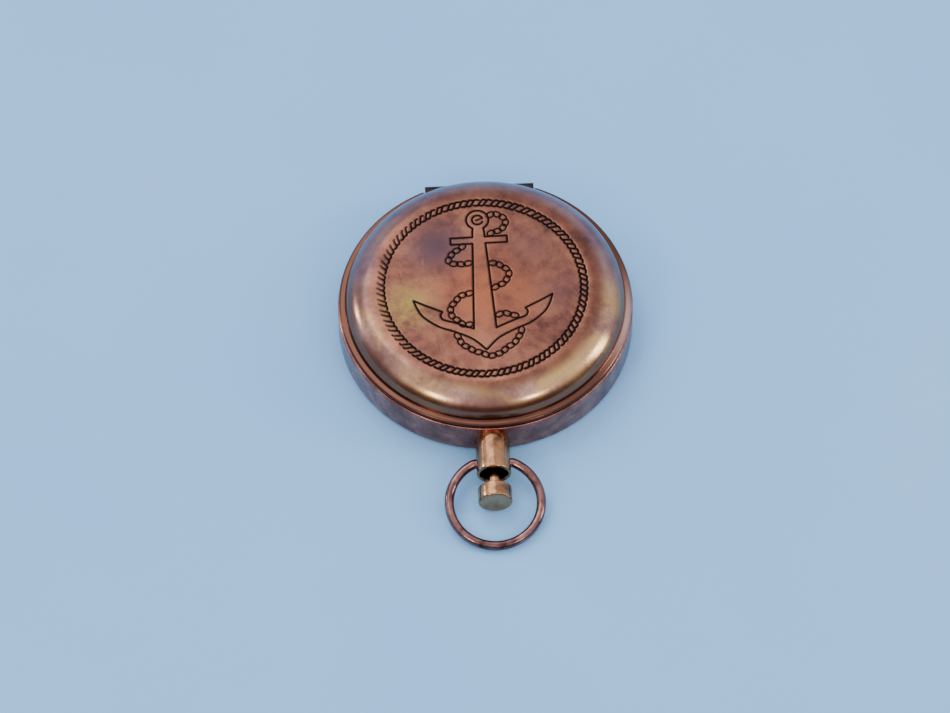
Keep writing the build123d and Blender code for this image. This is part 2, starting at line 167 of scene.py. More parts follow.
def stitch(faces, first_a, count_a, first_b, count_b, flip):
    """Faces between two rings of points whose counts divide each other."""
    if count_a <= count_b:
        ratio = count_b // count_a
        for i in range(count_a):
            a0 = first_a + i
            a1 = first_a + (i + 1) % count_a
            row = [first_b + (i * ratio + k) % count_b for k in range(ratio + 1)]
            face = [a0] + row + [a1]
            if ratio == 1:
                faces.append(face[::-1] if flip else face)
                continue
            middle = ratio // 2
            for k in range(ratio):
                tri = [a0 if k < middle else a1, row[k], row[k + 1]]
                faces.append(tri[::-1] if flip else tri)
            tri = [a0, row[middle], a1]
            faces.append(tri[::-1] if flip else tri)
    else:
        stitch(faces, first_b, count_b, first_a, count_a, not flip)


def ring_mesh(rings, place):
    """Closed skin through rings of (count, data). place(data, angles) gives the points.

    The first and last rings have a count of 1: they are the poles."""
    points = []
    faces = []
    starts = []
    for count, data in rings:
        starts.append(len(points))
        angles = np.arange(count) * (2 * math.pi / count)
        points.extend(place(data, angles))
    for k in range(len(rings) - 1):
        count_a = rings[k][0]
        count_b = rings[k + 1][0]
        if count_a == 1:
            for i in range(count_b):
                faces.append([starts[k], starts[k + 1] + i, starts[k + 1] + (i + 1) % count_b])
        elif count_b == 1:
            for i in range(count_a):
                faces.append([starts[k] + (i + 1) % count_a, starts[k] + i, starts[k + 1]])
        else:
            stitch(faces, starts[k], count_a, starts[k + 1], count_b, False)
    return points, faces


def turned(name, profile, count=180, axis="z", offset=(0, 0, 0)):
    """Solid turned from a closed outline of (radius, height) points that starts and ends on the axis,
    or that closes on itself away from the axis."""
    points = []
    faces = []
    open_ends = profile[0][0] < 1e-9
    rows = profile[1:-1] if open_ends else profile
    for r, h in rows:
        for i in range(count):
            a = 2 * math.pi * i / count
            points.append((r * math.cos(a), r * math.sin(a), h))
    for k in range(len(rows) - (1 if open_ends else 0)):
        n = (k + 1) % len(rows)
        for i in range(count):
            j = (i + 1) % count
            faces.append([k * count + i, n * count + i, n * count + j, k * count + j])
    if open_ends:
        bottom = len(points)
        points.append((0, 0, profile[0][1]))
        points.append((0, 0, profile[-1][1]))
        last = (len(rows) - 1) * count
        for i in range(count):
            j = (i + 1) % count
            faces.append([bottom, i, j])
            faces.append([bottom + 1, last + j, last + i])
    turn = {"z": Matrix.Identity(3), "y": Matrix.Rotation(math.radians(-90), 3, "X"),
            "x": Matrix.Rotation(math.radians(90), 3, "Y")}[axis]
    moved = [turn @ Vector(p) + Vector(offset) for p in points]
    obj = mesh_object(name, moved, faces)
    tidy_normals(obj)
    return obj


def rod(radius, low, high, count, axis="z", offset=(0, 0, 0)):
    """Round cutter between two places on an axis."""
    return turned("cutter", [(0, low), (radius, low), (radius, high), (0, high)], count, axis, offset)


def tidy_normals(obj):
    """Outward faces."""
    bm = bmesh.new()
    bm.from_mesh(obj.data)
    bmesh.ops.recalc_face_normals(bm, faces=bm.faces)
    bm.to_mesh(obj.data)
    bm.free()


def cut(obj, low, high):
    """Removes a box, given in millimetres, from a closed mesh."""
    centre = (Vector(low) + Vector(high)) / 2
    size = Vector(high) - Vector(low)
    corners = [
        centre + Vector((sx * size.x, sy * size.y, sz * size.z)) / 2
        for sx in (-1, 1) for sy in (-1, 1) for sz in (-1, 1)
    ]
    sides = [(0, 1, 3, 2), (4, 6, 7, 5), (0, 4, 5, 1), (2, 3, 7, 6), (0, 2, 6, 4), (1, 5, 7, 3)]
    box = mesh_object("cutter", corners, sides, smooth=False)
    tidy_normals(box)
    subtract(obj, box)


def subtract(obj, tool):
    """Takes one closed mesh away from another for good."""
    modifier = obj.modifiers.new("cut", "BOOLEAN")
    modifier.operation = "DIFFERENCE"
    modifier.solver = "MANIFOLD"
    modifier.object = tool
    bpy.context.view_layer.update()
    depsgraph = bpy.context.evaluated_depsgraph_get()
    made = bpy.data.meshes.new_from_object(obj.evaluated_get(depsgraph))
    obj.modifiers.clear()
    obj.data = made
    bpy.data.objects.remove(tool)


# ---------------- engraving
class Engraving:
    """A fine height field of the cut lines, which the lid's mesh samples."""

    def __init__(self, half, step):
        self.half = half
        self.step = step
        self.size = int(2 * half / step) + 1
        self.cut = np.zeros((self.size, self.size), np.float32)

    def stroke(self, points, width, strength=1.0):
        """Cuts a polyline with round ends. strength may be a list with a value per point."""
        values = strength if isinstance(strength, (list, tuple, np.ndarray)) else [strength] * len(points)
        feather = 0.07
        reach = width / 2 + feather
        for (a, b), (u, v) in zip(zip(points[:-1], points[1:]), zip(values[:-1], values[1:])):
            low = np.minimum(a, b) - reach + self.half
            high = np.maximum(a, b) + reach + self.half
            i0, j0 = np.clip((low / self.step).astype(int), 0, self.size - 1)
            i1, j1 = np.clip((high / self.step).astype(int) + 2, 1, self.size)
            x = np.arange(i0, i1) * self.step - self.half
            y = np.arange(j0, j1) * self.step - self.half
            gx, gy = np.meshgrid(x, y, indexing="ij")
            d = np.array(b, float) - np.array(a, float)
            t = np.clip(((gx - a[0]) * d[0] + (gy - a[1]) * d[1]) / max(d @ d, 1e-9), 0, 1)
            away = np.hypot(gx - a[0] - t * d[0], gy - a[1] - t * d[1])
            s = np.clip((reach - away) / (2 * feather), 0, 1)
            s = s * s * (3 - 2 * s) * (u + (v - u) * t)
            part = self.cut[i0:i1, j0:j1]
            np.maximum(part, s, out=part)

    def sample(self, x, y):
        """Depth of cut, from 0 to 1, at points in millimetres."""
        fx = np.clip((x + self.half) / self.step, 0, self.size - 2)
        fy = np.clip((y + self.half) / self.step, 0, self.size - 2)
        i = fx.astype(int)
        j = fy.astype(int)
        u = fx - i
        v = fy - j
        c = self.cut
        low = c[i, j] * (1 - u) + c[i + 1, j] * u
        high = c[i, j + 1] * (1 - u) + c[i + 1, j + 1] * u
        return low * (1 - v) + high * v


def smooth_line(points, per_span=8):
    """Catmull-Rom curve through given points."""
    p = [np.array(q, float) for q in points]
    p = [2 * p[0] - p[1]] + p + [2 * p[-1] - p[-2]]
    out = []
    for k in range(1, len(p) - 2):
        for t in np.linspace(0, 1, per_span, endpoint=False):
            a = 2 * p[k]
            b = p[k + 1] - p[k - 1]
            c = 2 * p[k - 1] - 5 * p[k] + 4 * p[k + 1] - p[k + 2]
            d = -p[k - 1] + 3 * p[k] - 3 * p[k + 1] + p[k + 2]
            out.append(0.5 * (a + b * t + c * t * t + d * t**3))
    out.append(p[-2])
    return np.array(out)


def on_lid(points):
    """From the motif's own frame to the lid."""
    c, s = math.cos(ANCHOR_TURN), math.sin(ANCHOR_TURN)
    p = np.array(points, float).reshape(-1, 2)
    return p @ np.array([[c, s], [-s, c]]) + np.array(ROPE_CENTRE)


def draw_rope(engraving):
    """Border of slanted strands. Each cut runs on along the border's edges, and fades at the left."""
    pitch = 2 * math.pi / ROPE_STRANDS
    tail = 0.45
    lean = 1.05
    width = 0.34
    fade_at = math.radians(178)
    for k in range(ROPE_STRANDS):
        start = k * pitch + 0.08 * pitch * math.sin(k * 2.7)
        fade = max(0.0, (math.cos(start - fade_at) - 0.45) / 0.55)
        t = np.linspace(-tail, 1 + tail - 0.6 * fade, 24)
        across = np.clip(t, 0, 1)
        across = across * across * (3 - 2 * across)
        low = ROPE_IN + 0.06 * math.sin(start * 3 + 1)
        high = ROPE_OUT + 0.05 * math.sin(start * 2)
        r = low + (high - low) * across
        r = r + 0.10 * np.clip(-t / tail, 0, 1) - 0.10 * np.clip((t - 1) / tail, 0, 1)
        a = start - t * pitch * lean
        line = np.stack([r * np.cos(a), r * np.sin(a)], 1)
        strength = np.clip(1.05 - 0.65 * fade * across, 0, 1)
        engraving.stroke(on_lid(line), width - 0.06 * fade, strength)


def draw_links(engraving, path):
    """Oval links along a path, each a little over the one before and tilted the other way."""
    link_step = 1.18
    overlap = 0.14
    half_width = 0.50
    tilt = 0.22
    look = 0.3
    line = smooth_line(path)
    steps = np.r_[0, np.cumsum(np.hypot(*np.diff(line, axis=0).T))]
    count = max(2, round(steps[-1] / link_step))
    pitch = steps[-1] / count
    for k in range(count):
        here = (k + 0.5) * pitch
        places = (here, min(here + look, steps[-1]), max(here - look, 0))
        x, x_ahead, x_behind = np.interp(places, steps, line[:, 0])
        y, y_ahead, y_behind = np.interp(places, steps, line[:, 1])
        turn = math.atan2(y_ahead - y_behind, x_ahead - x_behind) + tilt * (-1) ** k
        a = np.linspace(0, 2 * math.pi, 22)
        u = (pitch / 2 + overlap) * np.cos(a)
        v = half_width * np.sin(a)
        c, s = math.cos(turn), math.sin(turn)
        engraving.stroke(on_lid(np.stack([x + u * c - v * s, y + u * s + v * c], 1)), LINK_W)


def mirrored(points):
    return [(-x, y) for x, y in points]


def draw_anchor(engraving):
    """Anchor outline: eye, stock, shank, crown and two flukes, with a chain round it."""
    eye_y = 13.65
    for radius, start, end in ((1.9, -62, 242), (0.92, 20, 335)):
        a = np.radians(np.linspace(start, end, 40))
        ring = np.stack([radius * np.cos(a), eye_y + radius * np.sin(a)], 1)
        engraving.stroke(on_lid(ring), LINE_W)
    engraving.stroke(on_lid([(-0.25, eye_y - 0.12), (0.75, eye_y + 0.3)]), LINK_W)
    neck = [(0.9, 11.97), (1.0, 11.3), (1.05, 10.2)]
    stock = [(1.05, 10.2), (4.8, 10.2), (4.8, 8.9), (1.1, 8.9)]
    shank = [(1.1, 8.9), (1.5, 0.5), (1.9, -8.15)]
    for side in (lambda p: p, mirrored):
        engraving.stroke(on_lid(side(neck)), LINE_W)
        engraving.stroke(on_lid(side(stock)), LINE_W)
        engraving.stroke(on_lid(side(shank)), LINE_W)
        under = [(11.75, -2.0), (11.1, -3.9), (10.1, -5.5), (7.8, -7.4), (5.1, -8.6), (2.2, -10.2),
                 (0, -12.45)]
        engraving.stroke(on_lid(side(smooth_line(under))), LINE_W)
        over = [(11.75, -2.0), (9.4, -3.3), (7.0, -4.5)]
        engraving.stroke(on_lid(side(over)), LINE_W)
        notch = [(7.0, -4.5), (7.35, -5.1), (7.2, -5.75), (6.7, -6.2), (5.0, -6.8), (1.9, -8.15)]
        engraving.stroke(on_lid(side(smooth_line(notch))), LINE_W)
    chains = [
        [(1.75, 14.35), (2.9, 14.7), (4.3, 14.0), (4.7, 12.5), (3.5, 11.3), (1.6, 10.7)],
        [(-2.4, 8.7), (-3.7, 7.8), (-5.1, 6.5), (-5.2, 5.4), (-3.9, 4.9), (-1.5, 5.0)],
        [(1.5, 4.9), (3.1, 4.4), (4.4, 3.3), (4.6, 2.0), (3.4, 0.5), (1.7, -0.3)],
        [(-1.7, -1.0), (-3.3, -1.3), (-4.6, -2.4), (-5.5, -3.8), (-5.5, -5.2), (-4.55, -6.3),
         (-3.4, -7.3), (-2.1, -7.2)],
        [(2.0, -5.7), (3.3, -5.4), (4.6, -5.7), (5.6, -6.2)],
        [(-4.9, -8.9), (-4.1, -10.9), (-2.6, -12.2), (-0.9, -13.1), (0.8, -13.7), (2.1, -13.3), (3.6, -12.2),
         (5.2, -10.8), (6.3, -8.4)],
    ]
    for path in chains:
        draw_links(engraving, path)


# ---------------- lid
def lid_surface_z(r):
    """Height of the lid's outer surface at a radius, out to the flange."""
    u = np.clip((r - FLAT_R) / SHOULDER_W, 0, 1)
    return FLANGE_Z + SHOULDER_H * np.sqrt(np.clip(1 - u * u, 0, 1))


def hand_waviness(x, y):
    """Slight unevenness of hand-finished sheet, in millimetres."""
    out = np.empty(len(x))
    for i, (a, b) in enumerate(zip(x, y)):
        out[i] = noise.noise(Vector((a * 0.11, b * 0.11, 3.1)))
    return out


# The top's rings of points are centred on the engraving out to one radius, and on the lid from the next
ENGRAVED_R = 18.6
CENTRED_R = 20.6
RING_STEP = 0.11


def lid_rings():
    """Rings of (count, (kind, place)) from the top's middle over the edge and back to the middle inside."""
    rings = [(1, ("top", 0.0))]
    for k in range(1, int(ENGRAVED_R / RING_STEP) + 1):
        rho = k * RING_STEP
        count = 120 if rho < 2.4 else 240 if rho < 4.8 else 480 if rho < 9.6 else 960
        rings.append((count, ("top", rho)))
    # the cove starts above the flange, so the shoulder's lowest rings give way to it
    cove = 0.22
    for r, z in arc(FLAT_R, FLANGE_Z, SHOULDER_W, SHOULDER_H, 82, 0, 46):
        if r > ENGRAVED_R and z > FLANGE_Z + cove:
            rings.append((480, ("shoulder", (r, z))))
    edge = FLANGE_T / 2
    outline = arc(SHOULDER_R + cove, FLANGE_Z + cove, cove, cove, 180, 270, 6)
    outline += arc(FLANGE_R - edge, SEAM_Z + edge, edge, edge, 90, -90, 13)
    outline.append((SHOULDER_R - LID_SHEET, SEAM_Z))
    outline += arc(FLAT_R, FLANGE_Z, SHOULDER_W - LID_SHEET, SHOULDER_H - LID_SHEET, 0, 90, 20)
    rings += [(480, ("plain", point)) for point in outline]
    rings += [(240, ("plain", (FLAT_R * share, LID_TOP - LID_SHEET))) for share in (0.66, 0.33)]
    return rings + [(1, ("plain", (0.0, LID_TOP - LID_SHEET)))]


def build_lid(engraving):
    """Lid with real grooves, closed inside and out, cut away over the hinge."""
    waves = 0.05
    waves_fade = 4.0

    def place(data, angles):
        kind, value = data
        if kind == "plain":
            r, z = value
            return [(r * math.cos(a), r * math.sin(a), z) for a in angles]
        rho = value if kind == "top" else value[0]
        share = min(max((CENTRED_R - rho) / (CENTRED_R - ENGRAVED_R), 0), 1)
        x = rho * np.cos(angles) + ROPE_CENTRE.x * share
        y = rho * np.sin(angles) + ROPE_CENTRE.y * share
        z = lid_surface_z(np.hypot(x, y))
        if kind == "shoulder" and share == 0:
            z = np.full(len(angles), value[1])
        fall = np.clip((SHOULDER_R - rho) / waves_fade, 0, 1)
        z = z + waves * (hand_waviness(x, y) - 0.55) * fall
        z = z - GROOVE_DEPTH * engraving.sample(x, y)
        return list(zip(x, y, z))

    obj = mesh_object("lid_shell", *ring_mesh(lid_rings(), place))
    tidy_normals(obj)
    wide = BARREL_END + HINGE_ROOM
    knuckles = mm_box("lid_hinge_leaf")[1].x + HINGE_ROOM / 2
    top = HINGE_Z + BARREL_R
    cut(obj, (-wide, HINGE_CUT_Y, 0), (wide, FAR, top))
    cut(obj, (-FAR, HINGE_Y - 0.2, 0), (FAR, FAR, FLANGE_Z))
    cut(obj, (knuckles, HINGE_CUT_Y, 0), (wide, FAR, top + HINGE_ROOM))
    cut(obj, (-wide, HINGE_CUT_Y, 0), (-knuckles, FAR, top + HINGE_ROOM))
    co = np.empty(len(obj.data.vertices) * 3, np.float32)
    obj.data.vertices.foreach_get("co", co)
    co = co.reshape(-1, 3) / MM
    radius = np.hypot(co[:, 0], co[:, 1])
    inked = engraving.sample(co[:, 0], co[:, 1]) * (co[:, 2] > LID_TOP - LID_SHEET / 2)
    within = (co[:, 2] < lid_surface_z(radius) - LID_SHEET / 2) * (radius < SHOULDER_R - LID_SHEET / 2)
    for name, values in (("engraved", inked), ("within", within)):
        attribute = obj.data.attributes.new(name, "FLOAT", "POINT")
        attribute.data.foreach_set("value", values.astype(np.float32))
    sharp_edges(obj, 42)
    return obj


# ---------------- materials
def srgb(r, g, b):
    """Scene-linear colour from 0 to 255 display values."""
    def one(c):
        c = c / 255
        return c / 12.92 if c <= 0.04045 else ((c + 0.055) / 1.055) ** 2.4
    return (one(r), one(g), one(b), 1.0)


def colour_ramp(tree, value, stops):
    node = tree.nodes.new("ShaderNodeValToRGB")
    elements = node.color_ramp.elements
    while len(elements) < len(stops):
        elements.new(0.5)
    for element, (position, colour) in zip(elements, stops):
        element.position = position
        element.color = colour if isinstance(colour, tuple) else (colour, colour, colour, 1)
    tree.links.new(value, node.inputs["Fac"])
    return node.outputs["Color"]


class Finish:
    """A material made of nodes, with short calls for the usual ones."""

    def __init__(self, name):
        self.material = bpy.data.materials.new(name)
        self.material.use_nodes = True
        self.tree = self.material.node_tree
        self.shader = self.tree.nodes["Principled BSDF"]
        self.coords = self.tree.nodes.new("ShaderNodeTexCoord").outputs["Object"]

    def new(self, kind, **values):
        node = self.tree.nodes.new(kind)
        for key, value in values.items():
            setattr(node, key, value)
        return node

    def join(self, source, target):
        self.tree.links.new(source, target)

    def set(self, **values):
        """Constants on the shader's own sockets, by name with _ for spaces."""
        for key, value in values.items():
            self.shader.inputs[key.replace("_", " ")].default_value = value

    def noise(self, scale, detail=4.0, rough=0.55, stretch=(1, 1, 1), seed=0.0, distortion=0.0):
        """Noise with a scale in cycles per metre."""
        mapping = self.new("ShaderNodeMapping")
        mapping.inputs["Scale"].default_value = stretch
        mapping.inputs["Location"].default_value = (seed, seed * 0.7, seed * 0.3)
        self.join(self.coords, mapping.inputs["Vector"])
        tex = self.new("ShaderNodeTexNoise")
        tex.inputs["Scale"].default_value = scale
        tex.inputs["Detail"].default_value = detail
        tex.inputs["Roughness"].default_value = rough
        tex.inputs["Distortion"].default_value = distortion
        self.join(mapping.outputs["Vector"], tex.inputs["Vector"])
        return tex.outputs["Fac"]

    def ramp(self, value, *stops):
        """Colour ramp with (position, colour) stops. A single number makes a grey."""
        return colour_ramp(self.tree, value, stops)

    def mix(self, factor, a, b):
        """Colour mix, where each input is a socket or a constant."""
        node = self.new("ShaderNodeMix", data_type="RGBA")
        colours = [i for i in node.inputs if i.type == "RGBA"]
        for socket, value in ((node.inputs["Factor"], factor), (colours[0], a), (colours[1], b)):
            self.feed(socket, value)
        return [o for o in node.outputs if o.type == "RGBA"][0]

    def feed(self, socket, value):
        if isinstance(value, bpy.types.NodeSocket):
            self.join(value, socket)
        else:
            socket.default_value = value

    def math(self, operation, a, b=0.5):
        node = self.new("ShaderNodeMath", operation=operation)
        self.feed(node.inputs[0], a)
        self.feed(node.inputs[1], b)
        return node.outputs[0]

    def attribute(self, name):
        """A value that the mesh carries on its points."""
        return self.new("ShaderNodeAttribute", attribute_name=name).outputs["Fac"]

    def near(self, centre_mm, radius_mm):
        """1 at a point, falling to 0 at a radius."""
        node = self.new("ShaderNodeVectorMath", operation="DISTANCE")
        self.join(self.coords, node.inputs[0])
        node.inputs[1].default_value = tuple(c * MM for c in centre_mm)
        return self.fade(node.outputs["Value"], radius_mm, 0)

    def fade(self, value, start_mm, end_mm, kind="SMOOTHSTEP"):
        """0 to 1 as a coordinate or a distance goes from one place to another."""
        node = self.new("ShaderNodeMapRange", interpolation_type=kind)
        self.join(value, node.inputs["Value"])
        node.inputs["From Min"].default_value = start_mm * MM
        node.inputs["From Max"].default_value = end_mm * MM
        return node.outputs["Result"]

    def scratches(self, scale, seed, thin=0.012):
        """Fine lines in one direction."""
        mapping = self.new("ShaderNodeMapping")
        mapping.inputs["Rotation"].default_value = (0, 0, seed)
        mapping.inputs["Scale"].default_value = (1, 0.03, 1)
        self.join(self.coords, mapping.inputs["Vector"])
        tex = self.new("ShaderNodeTexNoise")
        tex.inputs["Scale"].default_value = scale
        tex.inputs["Detail"].default_value = 2.0
        self.join(mapping.outputs["Vector"], tex.inputs["Vector"])
        return self.ramp(tex.outputs["Fac"], (0.5 - thin, 0.0), (0.5, 1.0), (0.5 + thin, 0.0))

    def colour(self, source):
        self.join(source, self.shader.inputs["Base Color"])

    def rough(self, value, low, high):
        """Roughness between two values, driven by a 0 to 1 input."""
        node = self.new("ShaderNodeMapRange")
        self.join(value, node.inputs["Value"])
        node.inputs["To Min"].default_value = low
        node.inputs["To Max"].default_value = high
        self.join(node.outputs["Result"], self.shader.inputs["Roughness"])

    def bump(self, height, distance_mm, strength=1.0):
        node = self.new("ShaderNodeBump")
        node.inputs["Distance"].default_value = distance_mm * MM
        node.inputs["Strength"].default_value = strength
        self.join(height, node.inputs["Height"])
        self.join(node.outputs["Normal"], self.shader.inputs["Normal"])


def metal(name, dark, mid, light, low=0.18, high=0.36, grain=260, wear_and_highlight=None, turn=0.0, bore=None):
    """Aged metal: cloudy colour, uneven polish, fine scratches and a faint grain. A bore gets painted shade.
    """
    f = Finish(name)
    clouds = f.noise(grain, detail=6, rough=0.6, seed=0.013, distortion=0.4)
    base = f.ramp(clouds, (0.34, dark), (0.5, mid), (0.68, light))
    specks = f.noise(grain * 9, detail=3, seed=0.4)
    base = f.mix(f.ramp(specks, (0.66, 0.0), (0.78, 0.55)), base, dark)
    lines = f.scratches(900, 0.6 + turn)
    base = f.mix(f.math("MULTIPLY", lines, 0.22), base, light)
    if wear_and_highlight:
        fine = f.noise(grain * 2.2, detail=5, seed=0.7)
        base = f.mix(f.ramp(fine, (0.56, 0.0), (0.76, 0.4)), base, wear_and_highlight)
    if bore:
        # Painted shade: dark inside the bore's radius about the stem's axis.
        flat = f.new("ShaderNodeVectorMath", operation="MULTIPLY")
        f.join(f.coords, flat.inputs[0])
        flat.inputs[1].default_value = (1, 0, 1)
        away = f.new("ShaderNodeVectorMath", operation="DISTANCE")
        f.join(flat.outputs["Vector"], away.inputs[0])
        away.inputs[1].default_value = (0, 0, STEM_Z * MM)
        base = f.mix(f.fade(away.outputs["Value"], bore, bore - 0.15, "LINEAR"), base, srgb(30, 22, 20))
    f.colour(base)
    f.set(Metallic=1.0)
    f.rough(f.noise(grain * 1.6, detail=5, seed=0.2), low, high)
    height = f.math("ADD", f.noise(grain * 5, detail=4, seed=0.9), lines)
    f.bump(height, 0.012, 0.5)
    return f.material


COPPER_DARK = srgb(118, 68, 62)
COPPER = srgb(152, 92, 80)
COPPER_LIGHT = srgb(188, 124, 106)
BRASS_DARK = srgb(110, 82, 44)
BRASS = srgb(184, 146, 86)
BRASS_LIGHT = srgb(220, 188, 122)
INK = srgb(20, 13, 9)


def lid_top_colour(f, clouds, broad):
    """Tarnished copper with an orange middle, purple-brown patches and an olive one at the left."""
    top = f.ramp(clouds, (0.34, srgb(76, 50, 48)), (0.47, srgb(108, 70, 60)), (0.62, srgb(130, 86, 70)))
    orange = f.math("MULTIPLY", f.near((0.5, 0, LID_TOP), 13), f.ramp(clouds, (0.35, 0.3), (0.6, 1.0)))
    top = f.mix(orange, top, srgb(132, 78, 56))
    for x, y, reach in ((-8, 8.5, 8), (7.5, 8, 7), (12, -1, 6)):
        patch = f.math("MULTIPLY", f.near((x, y, LID_TOP), reach), f.ramp(broad, (0.42, 0.35), (0.56, 1.0)))
        top = f.mix(patch, top, srgb(76, 58, 66))
    olive = f.math("MULTIPLY", f.near((-13.5, -3.5, LID_TOP), 7), f.ramp(clouds, (0.42, 0.15), (0.58, 1.0)))
    return f.mix(olive, top, srgb(128, 110, 62))


def lid_shoulder_colour(f, clouds, y_place, z_place):
    """Rubbed shoulder with painted light: gold wear with painted highlights in front, a painted mauve
    reflection behind, painted dark reflections, a brown foot that is a painted reflection, and a rim of
    painted shade that is painted lit at the right.
    """
    shoulder_wear_and_reflections = f.ramp(clouds, (0.36, srgb(128, 94, 88)), (0.5, srgb(168, 128, 114)),
                    (0.64, srgb(194, 158, 138)))
    # Gold in front: part wear through the plating, part painted highlight; the three spots are painted
    # highlights at the front left, front right and right.
    gold = f.ramp(f.noise(90, detail=5, seed=0.77, distortion=0.8), (0.5, 0.0), (0.62, 0.8))
    for x, y, reach in ((-12, -19, 7), (15, -16, 9), (22, -3, 7)):
        wear_and_highlight = f.math("MULTIPLY", f.near((x, y, 10), reach), 0.8)
        gold = f.math("MAXIMUM", gold, f.math("MULTIPLY", wear_and_highlight, f.ramp(clouds, (0.36, 0.2), (0.55, 1.0))))
    front = f.fade(y_place, 8, -6, "LINEAR")
    shoulder_wear_and_reflections = f.mix(f.math("MULTIPLY", gold, front), shoulder_wear_and_reflections, srgb(206, 168, 108))
    # Painted reflection: a mauve tint towards the back of the shoulder stands for the pale sky it reflects.
    rear = f.ramp(f.math("SUBTRACT", 1.0, front), (0.2, 0.0), (0.8, 0.6))
    shoulder_wear_and_reflections = f.mix(rear, shoulder_wear_and_reflections, srgb(124, 108, 126))
    # Painted reflection: dark brown spots on the left and front middle of the shoulder stand for dark
    # surroundings it reflects.
    for x, y, reach in ((-24, -1, 9), (-20, -13, 7), (0, -21.5, 6.5)):
        shoulder_wear_and_reflections = f.mix(f.math("MULTIPLY", f.near((x, y, 9.8), reach), 0.8), shoulder_wear_and_reflections, srgb(112, 78, 70))
    # Painted reflection: the brown foot of the shoulder stands for the floor and dark front it reflects.
    foot = f.fade(z_place, FLANGE_Z + 3.3, FLANGE_Z + 1.3)
    shoulder_wear_and_reflections = f.mix(f.math("MULTIPLY", foot, 0.9), shoulder_wear_and_reflections, srgb(138, 84, 60))
    # Painted light and shade at the rim: pale pink where it is lit at the right, dark brown shade everywhere
    # else.
    rim = f.fade(z_place, FLANGE_Z + 0.5, FLANGE_Z + 0.15)
    right = f.near((24, -5, 8), 15)
    shoulder_wear_and_reflections = f.mix(f.math("MULTIPLY", right, rim), shoulder_wear_and_reflections, srgb(196, 160, 150))
    dark_share = f.math("SUBTRACT", 0.92, f.math("MULTIPLY", right, 0.7))
    return f.mix(f.math("MULTIPLY", rim, dark_share), shoulder_wear_and_reflections, srgb(84, 56, 48))


def lid_metal():
    """Copper-plated brass lid: tarnished top, rubbed shoulder with painted highlights, reflections and
    shade, brassy inside, and dark in the cuts.
    """
    f = Finish("copper_lid")
    clouds = f.noise(190, detail=9, rough=0.7, seed=0.02, distortion=0.2)
    broad = f.noise(60, detail=3, rough=0.5, seed=0.31, distortion=0.3)
    place = f.new("ShaderNodeSeparateXYZ")
    f.join(f.coords, place.inputs["Vector"])
    y_place, z_place = place.outputs["Y"], place.outputs["Z"]
    level = f.fade(z_place, LID_TOP - 0.7, LID_TOP - 0.02)
    base = f.mix(level, lid_shoulder_colour(f, clouds, y_place, z_place), lid_top_colour(f, clouds, broad))
    lines = f.math("MULTIPLY", f.scratches(520, 1.25, 0.004), f.ramp(broad, (0.54, 0.0), (0.64, 0.7)))
    base = f.mix(f.math("MULTIPLY", lines, 0.3), base, srgb(190, 140, 112))
    pits = f.ramp(f.noise(2600, detail=2, seed=0.5), (0.68, 0.0), (0.76, 0.8))
    base = f.mix(pits, base, srgb(70, 46, 40))
    hollow = f.ramp(clouds, (0.34, srgb(104, 66, 46)), (0.5, srgb(166, 114, 72)), (0.66, srgb(192, 144, 90)))
    base = f.mix(f.attribute("within"), base, hollow)
    cuts = f.attribute("engraved")
    f.colour(f.mix(f.ramp(cuts, (0.12, 0.0), (0.62, 1.0)), base, INK))
    f.join(f.ramp(cuts, (0.2, 1.0), (0.8, 0.15)), f.shader.inputs["Metallic"])
    f.join(f.ramp(cuts, (0.2, 0.5), (0.8, 0.02)), f.shader.inputs["Specular IOR Level"])
    f.rough(f.math("ADD", f.noise(260, detail=5, seed=0.2), f.math("MULTIPLY", cuts, 1.2)), 0.08, 0.36)
    f.bump(f.math("ADD", f.noise(700, detail=4, seed=0.9), lines), 0.012, 0.5)
    return f.material


def printed_card():
    """Off-white compass card with a fine mottle."""
    f = Finish("card_paper")
    f.colour(f.ramp(f.noise(700, detail=5), (0.35, srgb(222, 212, 186)), (0.65, srgb(240, 233, 212))))
    f.rough(f.noise(2500), 0.55, 0.75)
    f.bump(f.noise(6000, detail=2), 0.02, 0.3)
    return f.material


def printed_ink():
    f = Finish("card_ink")
    f.colour(f.ramp(f.noise(1500), (0.4, srgb(24, 22, 24)), (0.6, srgb(44, 40, 40))))
    f.rough(f.noise(3000), 0.45, 0.6)
    return f.material


def clear_glass():
    f = Finish("clear_glass")
    f.colour(f.ramp(f.noise(60), (0.3, (0.96, 0.99, 0.97, 1)), (0.7, (1, 1, 1, 1))))
    f.set(Transmission_Weight=1.0, IOR=1.5)
    f.rough(f.noise(400, detail=3), 0.0, 0.03)
    return f.material


def blued_steel(name, tone, light):
    """Heat-coloured steel."""
    f = Finish(name)
    f.colour(f.ramp(f.noise(300, detail=4, stretch=(1, 0.3, 1)), (0.35, tone), (0.7, light)))
    f.set(Metallic=1.0)
    f.rough(f.noise(1200), 0.2, 0.34)
    f.bump(f.noise(3000), 0.006, 0.4)
    return f.material


def pale_floor():
    """Plain pale matt surface."""
    f = Finish("pale_floor")
    f.colour(f.ramp(f.noise(18, detail=3), (0.3, srgb(136, 196, 254)), (0.7, srgb(142, 200, 255))))
    f.rough(f.noise(90), 0.85, 0.95)
    return f.material


# ---------------- pieces that stand for CAD nodes
def stage_objects():
    """Floor under the case."""
    half = 600.0
    corners = [(-half, -half, 0), (half, -half, 0), (half, half, 0), (-half, half, 0)]
    floor = mesh_object("floor", corners, [(0, 1, 2, 3)], smooth=False)
    floor.location.z = -0.00002
    paint(floor, pale_floor())


